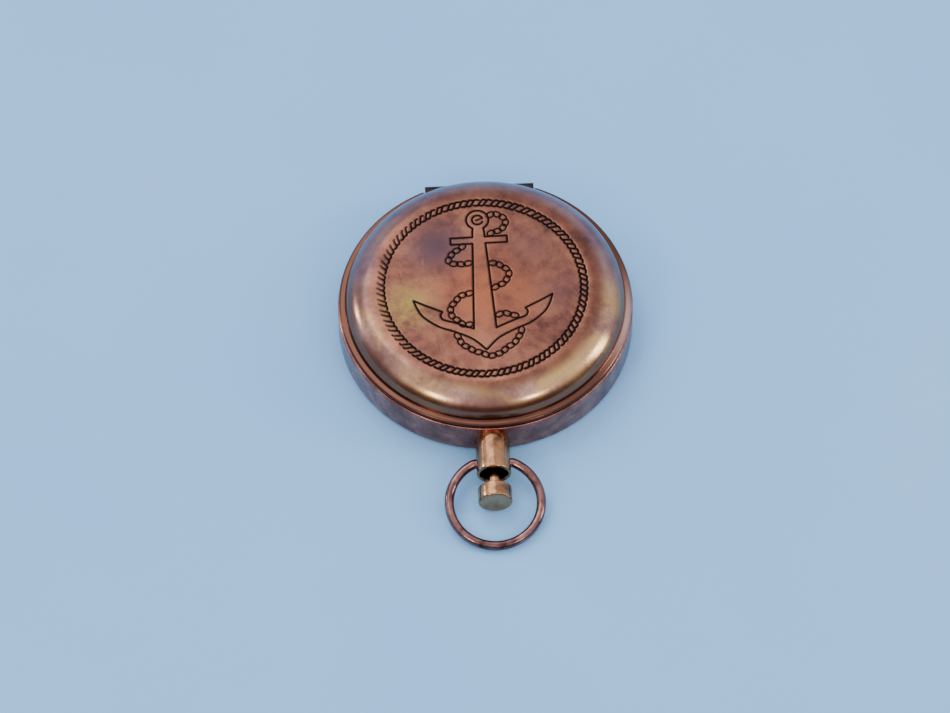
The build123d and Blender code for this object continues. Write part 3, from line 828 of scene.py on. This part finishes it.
def base_profile():
    """Outline of the bowl's section, from the axis under the floor to the axis inside."""
    bowl_r = CASE_R - BASE_SHEET
    outline = [(0, 0), (8, 0), (16, 0)]
    outline += arc(CASE_R - 1.0, 1.0, 1.0, 1.0, -90, 0, 9)
    outline += [(CASE_R, 3.0), (CASE_R, 5.0)]
    outline += arc(CASE_R - 0.25, RIM_Z - 0.25, 0.25, 0.25, 0, 90, 6)
    outline += [(bowl_r + 0.08, RIM_Z), (bowl_r, RIM_Z - 0.08), (bowl_r, 3.4), (bowl_r, BASE_SHEET + 0.25)]
    outline += [(bowl_r - 0.25, BASE_SHEET), (14, BASE_SHEET), (0, BASE_SHEET)]
    return outline


def build_base():
    obj = turned("base_bowl", base_profile(), count=360)
    wide = BARREL_END + HINGE_ROOM
    cut(obj, (-wide, HINGE_CUT_Y, HINGE_Z - BARREL_R), (wide, FAR, FAR))
    subtract(obj, rod(SHAFT_R + HOLE_ROOM, -FAR, 0, 48, "y", (0, 0, STEM_Z)))
    sharp_edges(obj)
    return obj


def build_stem():
    """Tube with a softened mouth, seated on the round wall of the case."""
    inner = STEM_R - STEM_WALL
    back = -(CASE_R - 1.5)
    outline = [(inner, back), (STEM_R, back)]
    outline += [(STEM_R, y) for y in np.linspace(back - 0.5, STEM_FRONT + 0.9, 10)]
    outline += arc(STEM_R - 0.3, STEM_FRONT + 0.3, 0.3, 0.3, 0, -90, 7)
    outline += [(inner + 0.35, STEM_FRONT), (inner, STEM_FRONT + 0.5)]
    obj = turned("stem_barrel", outline, 128, "y", (0, 0, STEM_Z))
    past_stem = 9.0
    subtract(obj, rod(BOW_WIRE_R + HOLE_ROOM, -past_stem, past_stem, 40, "x", (0, BOW_PIVOT, STEM_Z)))
    subtract(obj, rod(CASE_R, -9, 30, 360))
    sharp_edges(obj)
    return obj


def build_button():
    """Turned cap with soft edges, a hollow rubbed into its front and a socket behind."""
    front = cap_low.y
    back = cap_high.y
    edge = 0.3
    socket = shaft_low.y
    outline = [(0, front + 0.08), (CAP_R * 0.5, front + 0.05), (CAP_R - 0.7, front)]
    outline += arc(CAP_R - edge, front + edge, edge, edge, -90, 0, 8)
    outline += [(CAP_R, front + 1.0), (CAP_R, back - 0.8)]
    outline += arc(CAP_R - 0.15, back - 0.15, 0.15, 0.15, 0, 90, 6)
    outline += [(SHAFT_R, back), (SHAFT_R, socket), (0, socket)]
    obj = turned("button_face", outline, 160, "y", (0, 0, STEM_Z))
    sharp_edges(obj)
    return obj


def build_bow():
    """Round wire ring whose ends bend into the stem, as it rests in the CAD."""
    bend = 1.0
    side = STEM_R + 0.15
    inside = BOW_RING_R - bend
    reach = bend + math.sqrt(inside**2 - side**2)
    join = math.atan2(bend - reach, side)
    steps = [((x, 0.0), 0.0) for x in np.linspace(STEM_R - 0.75, side, 5)[:-1]]
    for a in np.linspace(-math.pi / 2, join, 8)[:-1]:
        steps.append(((side + bend * math.cos(a), bend + bend * math.sin(a)), a + math.pi / 2))
    for a in np.linspace(join, math.pi / 2, 90):
        steps.append(((BOW_RING_R * math.cos(a), reach + BOW_RING_R * math.sin(a)), a + math.pi / 2))
    steps += [((-x, y), 2 * math.pi - heading) for (x, y), heading in steps[-2::-1]]
    slope = math.asin((STEM_Z - BOW_WIRE_R - BOW_REST_GAP) / (reach + BOW_RING_R))
    turn = Matrix.Rotation(slope, 3, "X") @ Matrix.Rotation(math.pi, 3, "Z")
    points = []
    faces = []
    sides = 36
    for (x, y), heading in steps:
        across = Vector((math.sin(heading), -math.cos(heading), 0))
        for k in range(sides):
            a = 2 * math.pi * k / sides
            p = Vector((x, y, 0)) + BOW_WIRE_R * (across * math.cos(a) + Vector((0, 0, math.sin(a))))
            points.append(turn @ p + Vector((0, BOW_PIVOT, STEM_Z)))
    for i in range(len(steps) - 1):
        for k in range(sides):
            n = (k + 1) % sides
            faces.append([i * sides + k, i * sides + n, (i + 1) * sides + n, (i + 1) * sides + k])
    faces.append(list(range(sides))[::-1])
    faces.append([(len(steps) - 1) * sides + k for k in range(sides)])
    obj = mesh_object("bow_wire", points, faces)
    tidy_normals(obj)
    sharp_edges(obj, 60)
    return obj


def flexing(name, node, material):
    """A spring between two bodies, kept still in its CAD node's shape, which it stands for."""
    obj = link(bpy.data.objects.new(name, NODES[node].data.copy()))
    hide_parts(node)
    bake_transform(obj)
    paint(obj, material)
    sharp_edges(obj)
    return obj


# ---------------- marks inside
class Marks:
    """Thin raised shapes on a flat surface, gathered into one piece."""

    def __init__(self, z, height=0.03):
        self.points = []
        self.faces = []
        self.z = z
        self.height = height

    def shape(self, outline):
        """Prism over a flat convex outline, in millimetres."""
        n = len(outline)
        first = len(self.points)
        for z in (self.z - self.height, self.z + self.height):
            self.points += [(x, y, z) for x, y in outline]
        self.faces.append([first + i for i in range(n)][::-1])
        self.faces.append([first + n + i for i in range(n)])
        for i in range(n):
            j = (i + 1) % n
            self.faces.append([first + i, first + j, first + n + j, first + n + i])

    def bar(self, a, b, width):
        a, b = Vector(a), Vector(b)
        across = (b - a).normalized().orthogonal() * width / 2
        self.shape([a - across, b - across, b + across, a + across])

    def ring(self, radius, width, count=180, skip=None):
        """Circle of short bars, left out where skip(point) is true."""
        for k in range(count):
            a0 = 2 * math.pi * k / count
            a1 = 2 * math.pi * (k + 1) / count
            p = Vector((radius * math.cos(a0), radius * math.sin(a0)))
            q = Vector((radius * math.cos(a1), radius * math.sin(a1)))
            if skip and (skip(p) or skip(q)):
                continue
            self.bar(p, q, width)

    def strokes(self, lines, centre, size, turn):
        """Lettering from (x0, y0, x1, y1, width) lines in a unit box."""
        c, s = math.cos(turn), math.sin(turn)
        for x0, y0, x1, y1, width in lines:
            ends = []
            for x, y in ((x0, y0), (x1, y1)):
                x, y = x * size, (y - 0.5) * size
                ends.append((centre[0] + x * c - y * s, centre[1] + x * s + y * c))
            self.bar(*ends, width * size)

    def piece(self, name):
        obj = mesh_object(name, self.points, self.faces, smooth=False)
        tidy_normals(obj)
        return obj


THICK, THIN = 0.17, 0.07


def serifs(*spans):
    """Short flat strokes, each from (x0, x1, y)."""
    return [(x0, y, x1, y, 0.06) for x0, x1, y in spans]


# Each letter's width and its strokes
FOOT, MIDDLE, HEAD = 0.03, 0.5, 0.97
GLYPHS = {
    "I": (0.36, [(0, 0, 0, 1, THICK)] + serifs((-0.17, 0.17, FOOT), (-0.17, 0.17, HEAD))),
    "V": (0.72, [(-0.24, 1, 0, 0, THICK), (0.24, 1, 0, 0, THIN)] +
          serifs((-0.38, -0.08, HEAD), (0.12, 0.36, HEAD))),
    "X": (0.72, [(-0.24, 1, 0.24, 0, THICK), (0.24, 1, -0.24, 0, THIN)] +
          serifs((-0.37, -0.09, HEAD), (0.11, 0.36, HEAD), (-0.36, -0.11, FOOT), (0.09, 0.37, FOOT))),
    "N": (0.8, [(-0.28, 0, -0.28, 1, THIN), (0.28, 0, 0.28, 1, THIN), (-0.28, 1, 0.28, 0, THICK)]),
    "E": (0.66, [(-0.2, 0, -0.2, 1, THICK)] +
          serifs((-0.28, 0.25, FOOT), (-0.28, 0.22, HEAD), (-0.2, 0.12, MIDDLE))),
    "S": (0.62, [(0.22, 0.84, 0, HEAD, THIN), (0, HEAD, -0.2, 0.78, THICK), (-0.2, 0.78, 0.2, 0.26, THICK),
                 (0.2, 0.26, 0, FOOT, THICK), (0, FOOT, -0.24, 0.16, THIN)]),
    "W": (1.0, [(-0.42, 1, -0.2, 0, THICK), (-0.2, 0, 0, 1, THIN), (0, 1, 0.2, 0, THICK),
                (0.2, 0, 0.42, 1, THIN)]),
}


def write_word(marks, word, centre, size, turn):
    """Centred word, each letter from its strokes."""
    total = sum(GLYPHS[c][0] for c in word)
    place = -total / 2
    for letter in word:
        width, lines = GLYPHS[letter]
        middle = (place + width / 2) * size
        at = (centre[0] + middle * math.cos(turn), centre[1] + middle * math.sin(turn))
        marks.strokes(lines, at, size, turn)
        place += width


def hour_ray(hours, latitude, foot_y, radius):
    """Where the shadow at some hours after noon crosses a circle about the origin."""
    sun = math.radians(15 * hours)
    heading = math.atan2(math.sin(latitude) * math.sin(sun), math.cos(sun))
    dx, dy = math.sin(heading), math.cos(heading)
    along = -foot_y * dy + math.sqrt((foot_y * dy) ** 2 - foot_y**2 + radius**2)
    return (dx * along, foot_y + dy * along)


def build_hour_marks():
    """Roman hours and half-hour ticks, drawn for the style's latitude and foot."""
    latch_gap = 3.0

    def over_latch(point):
        return abs(point.x) < latch_gap and point.y < 0

    marks = Marks(mm_box("hour_plate")[1].z)
    latitude = math.radians(40)
    foot_y = mm_box("gnomon")[0].y
    inner, outer, numerals = 16.45, 23.0, 20.9
    marks.ring(inner, 0.12, 240)
    marks.ring(outer, 0.14, 300, over_latch)
    marks.ring(inner + 1.1, 0.08, 240)
    names = {-7: "V", -6: "VI", -5: "VII", -4: "VIII", -3: "IX", -2: "X", -1: "XI", 0: "XII",
             1: "I", 2: "II", 3: "III", 4: "IIII", 5: "V", 6: "VI", 7: "VII"}
    for quarter in range(-28, 29):
        hours = quarter / 4
        whole = quarter % 4 == 0
        end = inner + (2.0 if whole else 1.1 if quarter % 2 == 0 else 0.55)
        a = hour_ray(hours, latitude, foot_y, inner)
        b = hour_ray(hours, latitude, foot_y, end)
        marks.bar(a, b, 0.2 if whole else 0.1)
        if whole:
            x, y = hour_ray(hours, latitude, foot_y, numerals)
            turn = math.atan2(y, x) - math.pi / 2
            write_word(marks, names[int(hours)], (x, y), 2.5, turn)
    return marks.piece("hour_lines")


def polar(radius, angle):
    return (radius * math.cos(angle), radius * math.sin(angle))


def build_card_marks():
    """Degree ring, eight-point star and four letters."""
    marks = Marks(mm_box("compass_card")[1].z)
    outer, inner, long_tick, star_ring, letters = 15.7, 14.6, 14.2, 10.9, 12.6
    long_point, short_point, hub, notch = 10.4, 7.0, 2.6, 1.6
    marks.ring(outer, 0.1, 240)
    marks.ring(inner, 0.1, 240)
    marks.ring(star_ring, 0.08, 200)
    for k in range(72):
        a = math.radians(5 * k)
        marks.bar(polar(inner if k % 2 else long_tick, a), polar(outer, a), 0.1)
    for k in range(8):
        a = math.radians(45 * k)
        tip = long_point if k % 2 == 0 else short_point
        marks.shape([polar(notch, a), polar(hub, a + math.radians(22.5)), polar(tip, a)])
    for letter, degrees in (("N", 90), ("E", 0), ("S", 270), ("W", 180)):
        a = math.radians(degrees)
        write_word(marks, letter, polar(letters, a), 2.3, a - math.pi / 2)
    return marks.piece("card_print")


# ---------------- assembly
def build_engraving():
    engraving = Engraving(19.2, 0.03)
    draw_rope(engraving)
    draw_anchor(engraving)
    return engraving


def paint_nodes(names, material):
    """Gives CAD nodes that stay a better material."""
    for name in names:
        paint(NODES[name], material)
        NODES[name].data.set_sharp_from_angle(angle=math.radians(30))


def build_object():
    copper = metal("copper_case", COPPER_DARK, COPPER, COPPER_LIGHT, wear_and_highlight=BRASS)
    stem_tones = (srgb(104, 74, 54), srgb(166, 122, 88), srgb(190, 148, 106))
    stem_metal = metal("stem_brass", *stem_tones, 0.12, 0.24)
    tube_metal = metal("stem_tube_brass", *stem_tones, 0.12, 0.24, bore=STEM_R - STEM_WALL + 0.3)
    bow_metal = metal("bow_copper", srgb(66, 44, 46), srgb(122, 86, 84), srgb(164, 124, 118), 0.14, 0.26)
    dial_metal = metal("dial_brass", BRASS_DARK, BRASS, BRASS_LIGHT, 0.2, 0.34, turn=0.9)
    # Painted shade: the hinge gets a near-black copy of the metal for the shade it sits in.
    hinge_shade_metal = metal("dark_hinge", srgb(26, 20, 18), srgb(52, 40, 36), srgb(92, 70, 60), 0.3, 0.5)
    spring = blued_steel("spring_steel", srgb(120, 122, 128), srgb(186, 188, 192))
    blue = blued_steel("needle_blue", srgb(22, 34, 92), srgb(52, 78, 170))
    ink = printed_ink()

    finish_piece(build_lid(build_engraving()), "lid", ["lid"], lid_metal())
    finish_piece(build_base(), "case", ["case_base"], copper)
    finish_piece(build_stem(), "case", ["stem_tube"], tube_metal)
    finish_piece(build_button(), "button", ["button_cap"], stem_metal)
    finish_piece(build_bow(), "bow", ["bow"], bow_metal)
    finish_piece(build_hour_marks(), "case", [], ink)
    finish_piece(build_card_marks(), "case", [], ink)

    paint_nodes(["lid_rim"], copper)
    paint_nodes(["plunger_shaft", "spring_collar", "plunger_clip"], stem_metal)
    paint_nodes(["lid_hinge_leaf", "base_hinge_leaf", "hinge_pin"], hinge_shade_metal)
    paint_nodes(["spacer_ring", "hour_plate", "retaining_ring", "needle_post", "needle_cap"], dial_metal)
    paint_nodes(["gnomon", "gnomon_lug_north", "gnomon_lug_south", "gnomon_spindle"], dial_metal)
    paint_nodes(["needle"], blue)
    paint_nodes(["compass_card"], printed_card())
    paint_nodes(["crystal"], clear_glass())

    build_springs(spring)


def build_springs(steel):
    """Three coils and the latch strip, each from its CAD node."""
    flexing("lid_coil", "lid_spring", steel)
    flexing("button_coil", "button_spring", steel)
    flexing("gnomon_coil", "gnomon_spring", steel)
    flexing("lock_strip", "lock_spring", steel)


# ---------------- camera and light
VIEW_DOWN = math.radians(57.8)
VIEW_TURN = math.radians(2.3)
VIEW_ROLL = math.radians(0.3)
VIEW_DISTANCE = 1.006
VIEW_LENS = 223.6
AIM_RIGHT_MM = -1.807
AIM_UP_MM = -5.235


def build_camera():
    """Long lens from the front and above, as the object was seen."""
    down, turn = VIEW_DOWN, VIEW_TURN
    forward = Vector((math.sin(turn) * math.cos(down), math.cos(turn) * math.cos(down), -math.sin(down)))
    right = Vector((math.cos(turn), -math.sin(turn), 0))
    up = right.cross(forward)
    aim = (right * AIM_RIGHT_MM + up * AIM_UP_MM) * MM
    rolled = Matrix.Rotation(VIEW_ROLL, 3, forward)
    camera = bpy.data.objects.new("camera", bpy.data.cameras.new("camera"))
    camera.data.lens = VIEW_LENS
    camera.data.sensor_width = 36
    camera.data.clip_start = 0.05
    camera.location = aim - forward * VIEW_DISTANCE
    axes = Matrix((rolled @ right, rolled @ up, -forward)).transposed()
    camera.matrix_world = Matrix.Translation(camera.location) @ axes.to_4x4()
    link(camera)
    bpy.context.scene.camera = camera


def soft_light(name, direction, distance, size, power, tint=(1, 1, 1)):
    """Square area light that faces the object."""
    data = bpy.data.lights.new(name, "AREA")
    data.shape = "RECTANGLE"
    data.size, data.size_y = size
    data.energy = power
    data.color = tint
    lamp = link(bpy.data.objects.new(name, data))
    way = Vector(direction).normalized()
    lamp.location = way * distance
    lamp.rotation_euler = way.to_track_quat("Z", "Y").to_euler()
    return lamp


def build_world():
    """Studio room: a pale ceiling, a bluish wall behind the object and a dim warm one in front."""
    world = bpy.data.worlds.new("studio")
    bpy.context.scene.world = world
    world.use_nodes = True
    tree = world.node_tree
    coords = tree.nodes.new("ShaderNodeTexCoord")
    split = tree.nodes.new("ShaderNodeSeparateXYZ")
    tree.links.new(coords.outputs["Generated"], split.inputs["Vector"])
    ceiling = (1.0, (1.0, 0.97, 0.97, 1))
    behind = [(0.0, (0.42, 0.46, 0.62, 1)), (0.35, (0.62, 0.62, 0.74, 1)),
              (0.7, (0.86, 0.84, 0.88, 1)), ceiling]
    front = [(0.0, (0.10, 0.07, 0.06, 1)), (0.34, (0.16, 0.12, 0.11, 1)), (0.46, (0.5, 0.46, 0.5, 1)),
             (0.62, (0.9, 0.86, 0.92, 1)), ceiling]
    walls = [colour_ramp(tree, split.outputs["Z"], stops) for stops in (front, behind)]
    side = tree.nodes.new("ShaderNodeMapRange")
    side.inputs["From Min"].default_value = -0.55
    side.inputs["From Max"].default_value = 0.25
    tree.links.new(split.outputs["Y"], side.inputs["Value"])
    blend = tree.nodes.new("ShaderNodeMix")
    blend.data_type = "RGBA"
    tree.links.new(side.outputs["Result"], blend.inputs["Factor"])
    for wall, socket in zip(walls, [i for i in blend.inputs if i.type == "RGBA"]):
        tree.links.new(wall, socket)
    background = tree.nodes["Background"]
    tree.links.new([o for o in blend.outputs if o.type == "RGBA"][0], background.inputs["Color"])
    background.inputs["Strength"].default_value = 1.35


def build_lights():
    soft_light("sky_panel", (-0.29, 0.47, 0.83), 1.2, (0.76, 0.76), 4.3, (1.0, 0.97, 0.94))
    soft_light("left_window", (-0.866, 0.39, 0.29), 0.8, (0.07, 0.13), 0.7, (1.0, 0.98, 0.94))
    soft_light("low_left", (-0.50, -0.62, 0.60), 0.8, (0.14, 0.14), 1.0, (1.0, 0.94, 0.78))
    soft_light("low_right", (0.90, -0.06, 0.39), 0.8, (0.12, 0.34), 1.7, (1.0, 0.96, 0.90))
    soft_light("low_front", (0.42, -0.66, 0.62), 0.8, (0.12, 0.10), 0.5, (1.0, 0.93, 0.76))


build_object()
stage_objects()
build_camera()
build_world()
build_lights()
